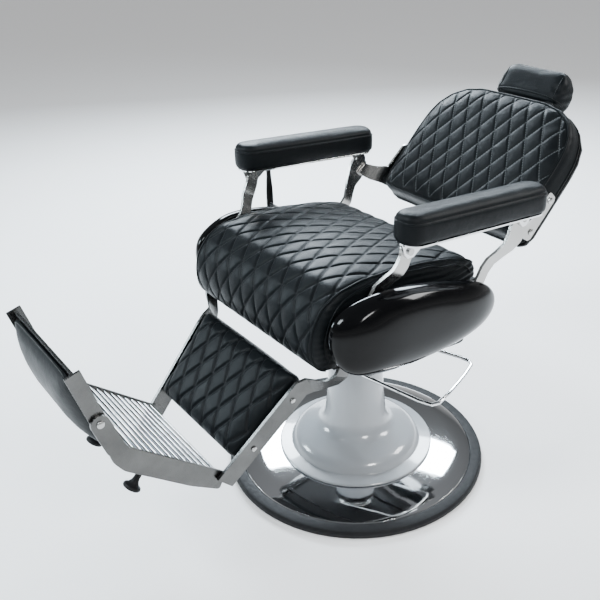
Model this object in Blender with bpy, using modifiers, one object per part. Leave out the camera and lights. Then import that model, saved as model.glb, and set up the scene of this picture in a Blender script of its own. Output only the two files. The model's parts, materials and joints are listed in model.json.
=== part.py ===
"""Hydraulic barber chair, shown reclined with its legrest raised. Metres, +Z up.

The chair faces -Y and its left side (the sitter's) is +X. The origin is on the floor, on the
column's axis. Each moving assembly hangs from an empty on its joint's axis.
"""

import math

import bmesh
import bpy
from mathutils import Matrix, Vector

GAP = 0.0003
SIDES = (("left", 1.0), ("right", -1.0))

# Base, column and pump, all turned about the Z axis.
RING_OUTER = 0.350
RING_INNER = 0.3033
RING_HEIGHT = 0.022
COVER_OUTER = 0.3180
BELL_FLANGE = 0.2095
COLUMN_TOP = 0.305
RAM_RADIUS = 0.0315
RAM_BOTTOM = 0.1150
HEAD_RADIUS = 0.0705
HEAD_TOP = 0.3550
HUB_BOTTOM = 0.4300
HUB_TOP = 0.4470
RAM_TOP = HUB_BOTTOM - GAP

# Foot pump lever: a bent rod whose ends sit in the pump head.
LEVER_TURN = math.radians(20.0)
LEVER_Z = 0.337
LEVER_END_Z = 0.321
LEVER_ROD = 0.0050

# Seat: every seat piece follows one plane that falls to the rear.
SEAT_FALL = math.tan(math.radians(4.5))
SEAT_PLANE_Z = 0.466
SEAT_HALF = 0.2495
FRAME_X = (0.2560, 0.2640)
LINK_X = (0.2662, 0.2758)
TIE_X = (0.2768, 0.2814)

# Hinge axes, as (y, z), all parallel to X.
AXIS_RECLINE = (0.138, 0.572)
AXIS_FRONT_POST = (-0.222, 0.598)
AXIS_LEGREST = (-0.235, 0.545)
AXIS_ARM_REAR = (0.255, 0.722)
AXIS_ARM_FRONT = (-0.105, 0.748)
AXIS_FLIP = (-0.7515, 0.5350)
AXIS_LATCH = (-0.018, 0.636)
TIE_DROP = 0.045
STUD = 0.0060
SMALL_STUD = 0.0045
BORE_PLAY = 0.0004

# Armrests.
ARM_FALL = (AXIS_ARM_FRONT[1] - AXIS_ARM_REAR[1]) / (AXIS_ARM_REAR[0] - AXIS_ARM_FRONT[0])
ARM_PLATE_Z = 0.769
ARM_PLATE_Y = -0.130
PAD_Y = (-0.140, 0.298)
ARM_X = (0.2650, 0.3410)
POST_TOP_X = (0.2862, 0.2960)
EAR_X = (0.2963, 0.3013)

# Backrest plane: foot of its front face, and its lean from the vertical.
BACK_FOOT = (0.308, 0.674)
BACK_LEAN = math.radians(44.0)
BACK_HALF = 0.2520
BACK_DEPTH = 0.0780

# Legrest: side arms, calf pad and footplate.
LEG_TOP = (-0.308, 0.458)
LEG_FOOT = (-0.507, 0.263)
LEG_HALF_WIDTH = 0.0235
PLATE_REAR = (-0.507, 0.288)
PLATE_FRONT = (-0.700, 0.447)
PLATE_HALF = 0.1530
PLATE_THICK = 0.0090
STEM_ALONG = 0.1500
STEM_X = 0.0970


def clear_scene():
    for obj in list(bpy.data.objects):
        bpy.data.objects.remove(obj, do_unlink=True)


def collection(name, hidden):
    made = bpy.data.collections.new(name)
    bpy.context.scene.collection.children.link(made)
    made.hide_render = hidden
    return made


def material(name, colour, metallic, roughness):
    made = bpy.data.materials.new(name)
    made.use_nodes = True
    shader = made.node_tree.nodes["Principled BSDF"]
    shader.inputs["Base Color"].default_value = (*colour, 1.0)
    shader.inputs["Metallic"].default_value = metallic
    shader.inputs["Roughness"].default_value = roughness
    return made


clear_scene()
CHAIR = collection("hydraulic_barber_chair", False)
CUTTERS = collection("cutters", True)
RUBBER = material("black_rubber", (0.02, 0.02, 0.02), 0.0, 0.7)
CHROME = material("chrome", (0.75, 0.75, 0.75), 1.0, 0.12)
CAST_METAL = material("polished_cast_aluminium", (0.68, 0.67, 0.64), 1.0, 0.3)
RIBBED_METAL = material("ribbed_aluminium", (0.72, 0.73, 0.74), 1.0, 0.28)
IRON = material("cast_iron", (0.10, 0.10, 0.10), 0.6, 0.6)
ENAMEL = material("white_enamel", (0.85, 0.85, 0.83), 0.0, 0.2)
STEEL = material("ground_steel", (0.60, 0.60, 0.60), 1.0, 0.25)
DARK_PAINT = material("black_painted_steel", (0.03, 0.03, 0.03), 0.2, 0.4)
PLASTIC = material("black_gloss_plastic", (0.01, 0.01, 0.012), 0.0, 0.12)
PLYWOOD = material("plywood", (0.45, 0.30, 0.17), 0.0, 0.7)
LEATHER = material("black_leather", (0.02, 0.02, 0.022), 0.0, 0.4)


def smooth(mesh, angle=30.0):
    for polygon in mesh.polygons:
        polygon.use_smooth = True
    mesh.set_sharp_from_angle(angle=math.radians(angle))


def add_object(name, mesh, skin, owner=None):
    obj = bpy.data.objects.new(name, mesh)
    (owner or CHAIR).objects.link(obj)
    if skin is not None:
        mesh.materials.append(skin)
    return obj


def finish(name, shape, skin, owner=None):
    """An object from a bmesh, with its faces turned outward and shaded smooth below 30 degrees."""
    bmesh.ops.recalc_face_normals(shape, faces=shape.faces)
    mesh = bpy.data.meshes.new(name)
    shape.to_mesh(mesh)
    shape.free()
    smooth(mesh)
    return add_object(name, mesh, skin, owner)


def rounded(points, radius, steps=4):
    """The same closed outline with each corner turned into an arc, as far as its sides allow."""
    found = []
    for index, point in enumerate(points):
        here = Vector(point)
        back = Vector(points[index - 1]) - here
        ahead = Vector(points[(index + 1) % len(points)]) - here
        reach = min(radius, 0.45 * back.length, 0.45 * ahead.length)
        start = here + back.normalized() * reach
        end = here + ahead.normalized() * reach
        for step in range(steps + 1):
            t = step / steps
            corner = start * (1 - t) ** 2 + here * 2 * t * (1 - t) + end * t**2
            found.append(tuple(corner))
    return found


def skin_rings(rings):
    """A closed bmesh through rings of equal point counts, with a flat cap on each end."""
    shape = bmesh.new()
    levels = [[shape.verts.new(point) for point in ring] for ring in rings]
    for low, high in zip(levels, levels[1:]):
        for index in range(len(low)):
            after = (index + 1) % len(low)
            shape.faces.new((low[index], low[after], high[after], high[index]))
    shape.faces.new(levels[0])
    shape.faces.new(levels[-1])
    return shape


def prism(name, outline, xs, skin, owner=None):
    """A (y, z) outline carried from the first x to the second."""
    return finish(name, skin_rings([[(x, y, z) for y, z in outline] for x in xs]), skin, owner)


def boolean(obj, other, operation):
    """Joins or cuts with another mesh, which is kept in the hidden collection."""
    for owner in list(other.users_collection):
        owner.objects.unlink(other)
    CUTTERS.objects.link(other)
    other.display_type = "WIRE"
    other.hide_render = True
    step = obj.modifiers.new(f"{operation.lower()}_{other.name}", "BOOLEAN")
    step.operation = operation
    step.solver = "EXACT"
    step.object = other


def cylinder_x(name, y, z, radius, xs, skin=None, segments=20):
    """A cylinder along X between two x positions."""
    ring = [
        (y + radius * math.cos(2 * math.pi * k / segments), z + radius * math.sin(2 * math.pi * k / segments))
        for k in range(segments)
    ]
    return prism(name, ring, xs, skin)


def turned(name, profile, skin, steps=48):
    """A closed (radius, z) profile turned about the Z axis. The profile runs down its outer side."""
    mesh = bpy.data.meshes.new(name)
    points = [(radius, 0.0, z) for radius, z in profile]
    on_axis = profile[0][0] == 0.0 and profile[-1][0] == 0.0
    edges = [(k, k + 1) for k in range(len(points) - 1)]
    if not on_axis:
        edges.append((len(points) - 1, 0))
    mesh.from_pydata(points, edges, [])
    obj = add_object(name, mesh, skin)
    screw = obj.modifiers.new("turn", "SCREW")
    screw.steps = steps
    screw.render_steps = steps
    screw.use_merge_vertices = True
    screw.merge_threshold = 0.0001
    screw.use_smooth_shade = True
    return obj


def empty(name, location):
    obj = bpy.data.objects.new(name, None)
    obj.empty_display_size = 0.05
    obj.location = location
    CHAIR.objects.link(obj)
    return obj


def attach(obj, parent):
    """Hangs a piece from a joint's empty, which stands unrotated at its own location."""
    obj.parent = parent
    obj.matrix_parent_inverse = Matrix.Translation(-parent.location)


def seat_z(y, above=0.0):
    return SEAT_PLANE_Z - SEAT_FALL * y + above


def arm_z(y, above=0.0):
    """Height of the armrest plate's underside, plus a distance."""
    return ARM_PLATE_Z - ARM_FALL * (y - ARM_PLATE_Y) + above


def back_point(x, along, out):
    """A point by its place on the backrest: across, up its face, and out of its front."""
    sine, cosine = math.sin(BACK_LEAN), math.cos(BACK_LEAN)
    return (x, BACK_FOOT[0] + along * sine - out * cosine, BACK_FOOT[1] + along * cosine + out * sine)


def calf_frame():
    """Unit vector down the leg arms and the unit vector out of the calf pad's front, as (y, z)."""
    down = (Vector(LEG_FOOT) - Vector(LEG_TOP)).normalized()
    return down, Vector((down.y, -down.x))


def plate_frame():
    """Unit vector from the footplate's rear to its front, and the one out of its tread."""
    along = (Vector(PLATE_FRONT) - Vector(PLATE_REAR)).normalized()
    return along, Vector((along.y, -along.x))


def ribbon(name, stations, thickness, skin):
    """A bar whose stations give (y, z, half width, x): its width lies across its run in the YZ plane."""
    rings = []
    for index, (y, z, half, x) in enumerate(stations):
        before = stations[max(index - 1, 0)]
        after = stations[min(index + 1, len(stations) - 1)]
        run = Vector((after[0] - before[0], after[1] - before[1])).normalized()
        across = Vector((-run.y, run.x)) * half
        near, far = x - thickness / 2, x + thickness / 2
        rings.append(
            [
                (near, y - across.x, z - across.y),
                (far, y - across.x, z - across.y),
                (far, y + across.x, z + across.y),
                (near, y + across.x, z + across.y),
            ]
        )
    return finish(name, skin_rings(rings), skin)


def mirrored(stations, side):
    return [(y, z, half, x * side) for y, z, half, x in stations]


def ends(xs, side):
    return tuple(sorted((xs[0] * side, xs[1] * side)))


# ---------------------------------------------------------------- base, column and pump


def build_base():
    ring = [
        (RING_OUTER - 0.004, RING_HEIGHT * 0.92),
        (RING_OUTER, RING_HEIGHT * 0.6),
        (RING_OUTER, 0.004),
        (RING_OUTER - 0.004, 0.0),
        (RING_INNER, 0.0),
        (RING_INNER, 0.0128),
        (COVER_OUTER + GAP, 0.0128),
        (COVER_OUTER + GAP, RING_HEIGHT),
        (RING_OUTER - 0.012, RING_HEIGHT),
    ]
    turned("rubber_ring", ring, RUBBER, 72)
    casting = [
        (0.0, 0.0300),
        (0.0540, 0.0300),
        (0.0700, 0.0240),
        (0.1200, 0.0120),
        (RING_INNER - GAP, 0.0120),
        (RING_INNER - GAP, 0.0),
        (0.0, 0.0),
    ]
    turned("base_casting", casting, IRON, 48)
    cover = [
        (BELL_FLANGE - 0.020, 0.0430),
        (0.2600, 0.0365),
        (0.3050, 0.0280),
        (COVER_OUTER - 0.002, 0.0235),
        (COVER_OUTER, 0.0205),
        (COVER_OUTER, 0.0131),
        (COVER_OUTER - 0.0025, 0.0131),
        (COVER_OUTER - 0.0050, 0.0205),
        (0.3040, 0.0250),
        (0.2600, 0.0335),
        (BELL_FLANGE - 0.020, 0.0400),
    ]
    turned("base_cover", cover, CHROME, 72)
    outer = [
        (0.0725, COLUMN_TOP),
        (0.0735, 0.2600),
        (0.0755, 0.2150),
        (0.0790, 0.1750),
        (0.0830, 0.1450),
        (0.0890, 0.1240),
        (0.0980, 0.1100),
        (0.1120, 0.1010),
        (0.1300, 0.0940),
        (0.1480, 0.0870),
        (0.1620, 0.0780),
        (0.1710, 0.0660),
        (0.1735, 0.0570),
        (0.1760, 0.0530),
        (BELL_FLANGE - 0.002, 0.0490),
        (BELL_FLANGE, 0.0470),
        (BELL_FLANGE, 0.0434),
    ]
    inner = [(radius - 0.0030, z - 0.0025) for radius, z in outer[1:-3]]
    bell = outer + [(0.1790, 0.0434), (0.1725, 0.0434)] + inner[::-1] + [(0.0695, COLUMN_TOP)]
    turned("bell_column", bell, ENAMEL, 64)
    sleeve = [
        (0.0, 0.0420),
        (RAM_RADIUS + 0.0006, 0.0420),
        (RAM_RADIUS + 0.0006, 0.2950),
        (0.0540, 0.2950),
        (0.0540, 0.0303),
        (0.0, 0.0303),
    ]
    turned("pump_cylinder", sleeve, STEEL, 32)


def build_lift(lift):
    ram = [
        (0.0, RAM_TOP + 0.0090),
        (0.0150, RAM_TOP + 0.0090),
        (0.0150, RAM_TOP),
        (RAM_RADIUS, RAM_TOP),
        (RAM_RADIUS, RAM_BOTTOM),
        (0.0, RAM_BOTTOM),
    ]
    attach(turned("pump_ram", ram, CHROME, 32), lift)


def lever_point(out, across, z):
    """A point by its distance out along the lever's line, across it, and its height."""
    cosine, sine = math.cos(LEVER_TURN), math.sin(LEVER_TURN)
    return (out * cosine - across * sine, out * sine + across * cosine, z)


def build_pump_head(swivel, lever_pivot):
    head = [
        (RAM_RADIUS + 0.0006, HEAD_TOP),
        (0.0560, HEAD_TOP),
        (HEAD_RADIUS - 0.004, HEAD_TOP - 0.0020),
        (HEAD_RADIUS, HEAD_TOP - 0.0060),
        (HEAD_RADIUS, COLUMN_TOP + 0.0045),
        (HEAD_RADIUS - 0.003, COLUMN_TOP + 0.0015),
        (RAM_RADIUS + 0.0006, COLUMN_TOP + 0.0015),
    ]
    block = turned("pump_head", head, DARK_PAINT, 40)
    attach(block, swivel)
    for number, hand in enumerate((1.0, -1.0)):
        socket = cylinder_between(
            f"lever_socket_{number}",
            lever_point(0.0, 0.0560 * hand, LEVER_Z),
            lever_point(0.0, 0.0800 * hand, LEVER_Z),
            LEVER_ROD + BORE_PLAY,
        )
        boolean(block, socket, "DIFFERENCE")
    path = [
        (0.0, 0.0570, LEVER_Z),
        (0.0, 0.0800, LEVER_Z),
        (0.0020, 0.0900, LEVER_Z),
        (0.0120, 0.0952, LEVER_Z - 0.0007),
        (0.1400, 0.1060, 0.3290),
        (0.2450, 0.1150, 0.3230),
        (0.2740, 0.1120, 0.3214),
        (0.2850, 0.0960, 0.3210),
        (0.2890, 0.0500, LEVER_END_Z),
        (0.2900, 0.0, LEVER_END_Z),
    ]
    whole = path + [(out, -across, z) for out, across, z in path[-2::-1]]
    rod = tube("pump_lever", [lever_point(*point) for point in whole], LEVER_ROD, CHROME)
    attach(rod, lever_pivot)


def build_hub(lift):
    hub = [
        (0.0, HUB_TOP),
        (0.0580, HUB_TOP),
        (0.0600, HUB_TOP - 0.002),
        (0.0600, HUB_BOTTOM + 0.002),
        (0.0580, HUB_BOTTOM),
        (0.0155, HUB_BOTTOM),
        (0.0155, RAM_TOP + 0.0095),
        (0.0, RAM_TOP + 0.0095),
    ]
    attach(turned("swivel_hub", hub, STEEL, 40), lift)


def cylinder_between(name, start, end, radius, segments=20):
    start, end = Vector(start), Vector(end)
    turn = (end - start).to_track_quat("Z", "Y").to_matrix()
    rings = []
    for centre in (start, end):
        rings.append(
            [
                centre
                + turn
                @ Vector(
                    (
                        radius * math.cos(2 * math.pi * k / segments),
                        radius * math.sin(2 * math.pi * k / segments),
                        0.0,
                    )
                )
                for k in range(segments)
            ]
        )
    return finish(name, skin_rings(rings), None)


def tube(name, points, radius, skin, resolution=3):
    """A round rod through the points, as a curve with filled caps."""
    curve = bpy.data.curves.new(name, "CURVE")
    curve.dimensions = "3D"
    curve.bevel_depth = radius
    curve.bevel_resolution = resolution
    curve.use_fill_caps = True
    line = curve.splines.new("POLY")
    line.points.add(len(points) - 1)
    for point, place in zip(line.points, points):
        point.co = (*place, 1.0)
    curve.materials.append(skin)
    obj = bpy.data.objects.new(name, curve)
    CHAIR.objects.link(obj)
    return obj


# ---------------------------------------------------------------- seat carriage


def build_under_frame(lift):
    tops = -GAP
    plate = prism(
        "under_frame",
        [
            (-0.172, seat_z(-0.172, tops)),
            (-0.172, seat_z(-0.172, tops - 0.010)),
            (0.112, seat_z(0.112, tops - 0.010)),
            (0.112, seat_z(0.112, tops)),
        ],
        (-0.2540, 0.2540),
        DARK_PAINT,
    )
    attach(plate, lift)
    for name, y in (("front", -0.165), ("rear", 0.100)):
        low, high = tops - 0.028, tops - 0.001
        bar = prism(
            f"cross_bar_{name}",
            [
                (y - 0.014, seat_z(y - 0.014, low)),
                (y + 0.014, seat_z(y + 0.014, low)),
                (y + 0.014, seat_z(y + 0.014, high)),
                (y - 0.014, seat_z(y - 0.014, high)),
            ],
            (-FRAME_X[0] + GAP, FRAME_X[0] - GAP),
            None,
        )
        boolean(plate, bar, "UNION")
    boss = turned(
        "frame_boss",
        [(0.0, 0.4610), (0.0500, 0.4610), (0.0500, HUB_TOP + GAP), (0.0, HUB_TOP + GAP)],
        None,
        32,
    )
    boolean(plate, boss, "UNION")


def build_seat(lift):
    pan = prism(
        "seat_pan",
        [
            (-0.255, seat_z(-0.255)),
            (0.162, seat_z(0.162)),
            (0.162, seat_z(0.162, 0.014)),
            (-0.255, seat_z(-0.255, 0.014)),
        ],
        (-0.235, 0.235),
        PLYWOOD,
    )
    attach(pan, lift)
    above = 0.0143
    outline = [
        (-0.2555, seat_z(-0.2555, above)),
        (-0.2555, seat_z(-0.2555, 0.002)),
        (-0.2800, 0.4900),
        (-0.3080, 0.5080),
        (-0.3220, 0.5400),
        (-0.3230, 0.5800),
        (-0.3120, 0.6200),
        (-0.2850, 0.6550),
        (-0.2400, 0.6760),
        (-0.1600, 0.6860),
        (-0.0600, 0.6800),
        (0.0500, 0.6640),
        (0.1300, 0.6440),
        (0.1680, 0.6260),
        (0.1780, 0.6050),
        (0.1760, 0.5400),
        (0.1700, seat_z(0.1700, above)),
    ]
    rings = []
    for x, inset in ((-SEAT_HALF, 0.010), (-0.2400, 0.0), (0.2400, 0.0), (SEAT_HALF, 0.010)):
        rings.append([(x, *pulled_in(point, inset)) for point in outline])
    cushion = finish("seat_cushion", skin_rings(rings), LEATHER)
    attach(cushion, lift)


def pulled_in(point, inset):
    """A point of the seat's side outline moved toward the middle of the cushion, above the pan only."""
    y, z = point
    if z <= seat_z(y, 0.0150) and y > -0.2600:
        return (y, z)
    middle = Vector((-0.060, 0.580))
    offset = Vector(point) - middle
    return tuple(middle + offset * (1.0 - inset / offset.length))


def build_side_frames(lift):
    outline = rounded(
        [
            (-0.2580, 0.5280),
            (-0.2580, 0.5650),
            (-0.2480, 0.6220),
            (-0.1950, 0.6220),
            (-0.1400, 0.5900),
            (0.0800, 0.5700),
            (0.1200, 0.5960),
            (0.1600, 0.5920),
            (0.1600, 0.5500),
            (0.1240, 0.5250),
            (0.1200, seat_z(0.1200, -0.026)),
            (-0.1850, seat_z(-0.185, -0.026)),
            (-0.1900, 0.5080),
        ],
        0.012,
        2,
    )
    for hand, side in SIDES:
        frame = prism(f"side_frame_{hand}", outline, ends(FRAME_X, side), DARK_PAINT)
        attach(frame, lift)
        for label, axis in (
            ("recline", AXIS_RECLINE),
            ("front", AXIS_FRONT_POST),
            ("legrest", AXIS_LEGREST),
        ):
            stud = cylinder_x(
                f"stud_{label}_{hand}", *axis, STUD, ends((FRAME_X[0] + 0.002, LINK_X[1] + 0.0008), side)
            )
            boolean(frame, stud, "UNION")
        if side < 0:
            y, z = AXIS_LATCH
            ear = [(y - 0.030, 0.572), (y - 0.009, z + 0.009), (y + 0.009, z + 0.009), (y + 0.030, 0.570)]
            boolean(frame, prism("latch_ear", ear, (-0.2635, -0.2565), None), "UNION")
            stud = cylinder_x("latch_stud", y, z, STUD, (-0.3510, -0.2600))
            boolean(frame, stud, "UNION")


# The pod's rim as (x, y, z): close to the cushion at the front, farther out where the posts
# and the leg arm come through.
POD_RIM = [
    (0.2620, -0.2940, 0.6000),
    (0.2620, -0.2830, 0.6300),
    (0.2640, -0.2500, 0.6520),
    (0.2800, -0.1980, 0.6690),
    (0.2840, -0.1300, 0.6690),
    (0.2840, -0.0450, 0.6540),
    (0.2840, 0.0350, 0.6320),
    (0.2840, 0.1050, 0.6100),
    (0.2830, 0.1550, 0.5870),
    (0.2830, 0.1820, 0.5520),
    (0.2830, 0.1780, 0.5180),
    (0.2840, 0.1450, 0.4900),
    (0.2840, 0.0700, 0.4730),
    (0.2840, -0.0150, 0.4700),
    (0.2840, -0.1150, 0.4720),
    (0.2850, -0.2050, 0.4860),
    (0.2850, -0.2570, 0.5030),
    (0.2720, -0.2820, 0.5330),
    (0.2620, -0.2930, 0.5660),
]
POD_OUTER = 0.3380
POD_MIDDLE = (-0.075, 0.573)
POD_LAYERS = ((0.0, 1.0), (0.15, 1.005), (0.38, 0.965), (0.62, 0.875), (0.82, 0.73), (0.94, 0.53), (1.0, 0.28))


def pod_ring(side, depth, scale):
    """The pod's rim carried outward: depth is 0 at the rim and 1 at the outermost face."""
    middle = Vector(POD_MIDDLE)
    ring = []
    for x, y, z in POD_RIM:
        place = middle + (Vector((y, z)) - middle) * scale
        ring.append(((x + (POD_OUTER - x) * depth) * side, place.x, place.y))
    return ring


def build_pods(lift):
    for hand, side in SIDES:
        name = f"side_pod_{hand}"
        shape = bmesh.new()
        rings = [[shape.verts.new(point) for point in pod_ring(side, *layer)] for layer in POD_LAYERS]
        for low, high in zip(rings, rings[1:]):
            for index in range(len(low)):
                after = (index + 1) % len(low)
                shape.faces.new((low[index], low[after], high[after], high[index]))
        shape.faces.new(rings[-1])
        bmesh.ops.recalc_face_normals(shape, faces=shape.faces)
        outward = sum(face.normal.x * face.calc_area() for face in shape.faces) * side
        if outward < 0:
            bmesh.ops.reverse_faces(shape, faces=shape.faces)
        mesh = bpy.data.meshes.new(name)
        shape.to_mesh(mesh)
        shape.free()
        smooth(mesh, 50.0)
        pod = add_object(name, mesh, PLASTIC)
        wall = pod.modifiers.new("wall", "SOLIDIFY")
        wall.thickness = 0.003
        wall.offset = -1.0
        attach(pod, lift)
        for number, (y, z, reach) in enumerate(((-0.100, 0.585, 0.3365), (0.040, 0.570, 0.3340))):
            boss = cylinder_x(f"pod_boss_{hand}_{number}", y, z, 0.008, ends((FRAME_X[1] + GAP, reach), side))
            boolean(pod, boss, "UNION")
        if side < 0:
            hole = cylinder_x("latch_hole", *AXIS_LATCH, STUD + 0.0020, (-0.3450, -0.2600))
            boolean(pod, hole, "DIFFERENCE")


# ---------------------------------------------------------------- armrests and posts


def build_front_posts(front):
    stations = [
        (-0.222, 0.598, 0.0150, 0.2710),
        (-0.196, 0.622, 0.0150, 0.2700),
        (-0.170, 0.646, 0.0150, 0.2650),
        (-0.153, 0.665, 0.0150, 0.2625),
        (-0.139, 0.683, 0.0155, 0.2740),
        (-0.127, 0.700, 0.0165, 0.2870),
        (-0.117, 0.716, 0.0165, 0.2910),
        (-0.109, 0.733, 0.0160, 0.2910),
        (-0.105, 0.748, 0.0150, 0.2910),
    ]
    for hand, side in SIDES:
        post = ribbon(f"front_post_{hand}", mirrored(stations, side), 0.0080, CAST_METAL)
        attach(post, front)
        eye = cylinder_x(f"front_eye_{hand}", *AXIS_ARM_FRONT, 0.0160, ends(POST_TOP_X, side))
        boolean(post, eye, "UNION")
        foot = cylinder_x(f"front_foot_{hand}", *AXIS_FRONT_POST, 0.0170, ends(LINK_X, side))
        boolean(post, foot, "UNION")
        bore = cylinder_x(f"front_bore_{hand}", *AXIS_FRONT_POST, STUD + BORE_PLAY, ends((0.262, 0.280), side))
        boolean(post, bore, "DIFFERENCE")
        upper = cylinder_x(
            f"front_upper_bore_{hand}", *AXIS_ARM_FRONT, SMALL_STUD + BORE_PLAY, ends((0.280, 0.300), side)
        )
        boolean(post, upper, "DIFFERENCE")


def build_armrests(arms):
    plate_start, plate_end = PAD_Y[0] + 0.007, PAD_Y[1] - 0.008
    for hand, side in SIDES:
        plate = prism(
            f"arm_plate_{hand}",
            [
                (plate_start, arm_z(plate_start)),
                (plate_end, arm_z(plate_end)),
                (plate_end, arm_z(plate_end, 0.004)),
                (plate_start, arm_z(plate_start, 0.004)),
            ],
            ends((ARM_X[0] + 0.004, ARM_X[1] - 0.004), side),
            CHROME,
        )
        attach(plate, arms)
        front_y, front_z = AXIS_ARM_FRONT
        front_ear = prism(
            f"front_ear_{hand}",
            [
                (front_y - 0.024, arm_z(front_y - 0.024, 0.001)),
                (front_y - 0.014, front_z - 0.006),
                (front_y - 0.006, front_z - 0.015),
                (front_y + 0.010, front_z - 0.016),
                (front_y + 0.030, front_z - 0.002),
                (front_y + 0.054, arm_z(front_y + 0.054, 0.001)),
            ],
            ends(EAR_X, side),
            None,
        )
        boolean(plate, front_ear, "UNION")
        rear_y, rear_z = AXIS_ARM_REAR
        rear_ear = prism(
            f"rear_ear_{hand}",
            [
                (rear_y - 0.030, arm_z(rear_y - 0.030, 0.001)),
                (rear_y - 0.015, rear_z - 0.006),
                (rear_y - 0.006, rear_z - 0.015),
                (rear_y + 0.006, rear_z - 0.015),
                (rear_y + 0.015, rear_z - 0.006),
                (rear_y + 0.024, arm_z(rear_y + 0.024, 0.001)),
            ],
            ends(EAR_X, side),
            None,
        )
        boolean(plate, rear_ear, "UNION")
        for label, axis in (("front", AXIS_ARM_FRONT), ("rear", AXIS_ARM_REAR)):
            bore = cylinder_x(
                f"{label}_ear_bore_{hand}", *axis, SMALL_STUD + BORE_PLAY, ends((0.290, 0.310), side)
            )
            boolean(plate, bore, "DIFFERENCE")
        attach(arm_pad(hand, side), arms)
        bolt = cylinder_x(f"arm_bolt_{hand}", *AXIS_ARM_FRONT, SMALL_STUD, ends((0.2850, 0.3030), side), STEEL)
        head = cylinder_x(
            f"arm_bolt_head_{hand}", *AXIS_ARM_FRONT, 0.0080, ends((EAR_X[1] + GAP, EAR_X[1] + 0.0050), side)
        )
        boolean(bolt, head, "UNION")
        attach(bolt, arms)


def arm_pad(hand, side):
    """A bar with round ends in plan and a soft top, on its plate."""
    middle = (ARM_X[0] + ARM_X[1]) / 2
    half = (ARM_X[1] - ARM_X[0]) / 2
    start, end = PAD_Y
    plan = []
    for k in range(9):
        turn = math.pi * k / 8
        plan.append((start + half * (1 - math.sin(turn)) * 0.8, -half * math.cos(turn)))
    for k in range(9):
        turn = math.pi * k / 8
        plan.append((end - half * (1 - math.sin(turn)) * 0.8, half * math.cos(turn)))
    centre_y = (start + end) / 2
    rings = []
    for above, shrink in ((0.0043, 0.94), (0.0120, 1.0), (0.0480, 1.0), (0.0600, 0.93), (0.0680, 0.76), (0.0710, 0.50)):
        ring = []
        for y, across in plan:
            reach = half * (1 - shrink)
            length = (end - start) / 2
            along = centre_y + (y - centre_y) * (length - reach) / length
            ring.append(((middle + across * shrink) * side, along, arm_z(along, above)))
        rings.append(ring)
    return finish(f"arm_pad_{hand}", skin_rings(rings), LEATHER)


def build_rear_posts(recline):
    stations = [
        (0.138, 0.572, 0.0150, 0.2710),
        (0.156, 0.591, 0.0150, 0.2680),
        (0.172, 0.608, 0.0150, 0.2640),
        (0.188, 0.625, 0.0150, 0.2655),
        (0.203, 0.643, 0.0155, 0.2770),
        (0.219, 0.662, 0.0190, 0.2890),
        (0.234, 0.680, 0.0260, 0.2910),
        (0.246, 0.700, 0.0300, 0.2910),
        (0.252, 0.720, 0.0240, 0.2910),
    ]
    tail = (AXIS_RECLINE[0], AXIS_RECLINE[1] - TIE_DROP)
    for hand, side in SIDES:
        post = ribbon(f"rear_post_{hand}", mirrored(stations, side), 0.0080, CAST_METAL)
        attach(post, recline)
        lower = prism(
            f"rear_tail_{hand}",
            [
                (tail[0] - 0.010, tail[1] - 0.004),
                (tail[0], tail[1] - 0.010),
                (tail[0] + 0.010, tail[1] - 0.004),
                (AXIS_RECLINE[0] + 0.015, AXIS_RECLINE[1]),
                (AXIS_RECLINE[0] - 0.015, AXIS_RECLINE[1]),
            ],
            ends((0.2675, 0.2745), side),
            None,
        )
        boolean(post, lower, "UNION")
        foot = cylinder_x(f"rear_foot_{hand}", *AXIS_RECLINE, 0.0170, ends(LINK_X, side))
        boolean(post, foot, "UNION")
        knuckle = cylinder_x(f"rear_knuckle_{hand}", *AXIS_ARM_REAR, 0.0160, ends(POST_TOP_X, side))
        boolean(post, knuckle, "UNION")
        pin = cylinder_x(f"arm_pin_{hand}", *AXIS_ARM_REAR, SMALL_STUD, ends((0.290, 0.3030), side))
        boolean(post, pin, "UNION")
        tie_pin = cylinder_x(f"tie_pin_{hand}", *tail, SMALL_STUD, ends((0.270, TIE_X[1] + 0.0008), side))
        boolean(post, tie_pin, "UNION")
        bore = cylinder_x(f"rear_bore_{hand}", *AXIS_RECLINE, STUD + BORE_PLAY, ends((0.262, 0.280), side))
        boolean(post, bore, "DIFFERENCE")


def build_tie_bars(ties):
    start = Vector((AXIS_RECLINE[0], AXIS_RECLINE[1] - TIE_DROP))
    end = Vector((AXIS_LEGREST[0], AXIS_LEGREST[1] - TIE_DROP))
    run = (end - start).normalized()
    across = Vector((-run.y, run.x)) * 0.0085
    outline = [
        start - run * 0.004 - across,
        end + run * 0.004 - across,
        end + run * 0.010,
        end + run * 0.004 + across,
        start - run * 0.004 + across,
        start - run * 0.010,
    ]
    for hand, side in SIDES:
        bar = prism(f"tie_bar_{hand}", [tuple(point) for point in outline], ends(TIE_X, side), STEEL)
        attach(bar, ties)
        for number, place in enumerate((start, end)):
            bore = cylinder_x(
                f"tie_bore_{hand}_{number}", place.x, place.y, SMALL_STUD + BORE_PLAY, ends((0.274, 0.284), side)
            )
            boolean(bar, bore, "DIFFERENCE")


# ---------------------------------------------------------------- backrest and headrest


def back_outline(inset=0.0):
    """Half widths up the backrest as a closed (across, along) outline."""
    right = [
        (BACK_HALF - 0.026, -0.032),
        (BACK_HALF - 0.008, -0.022),
        (BACK_HALF, 0.004),
        (BACK_HALF, 0.180),
        (BACK_HALF - 0.004, 0.224),
        (BACK_HALF - 0.018, 0.266),
        (BACK_HALF - 0.048, 0.304),
        (BACK_HALF - 0.090, 0.329),
        (BACK_HALF - 0.145, 0.340),
    ]
    points = right + [(-x, along) for x, along in right[::-1]]
    middle = Vector((0.0, 0.155))
    found = []
    for point in points:
        offset = Vector(point) - middle
        found.append(tuple(middle + offset * (1.0 - inset / offset.length)))
    return found


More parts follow.
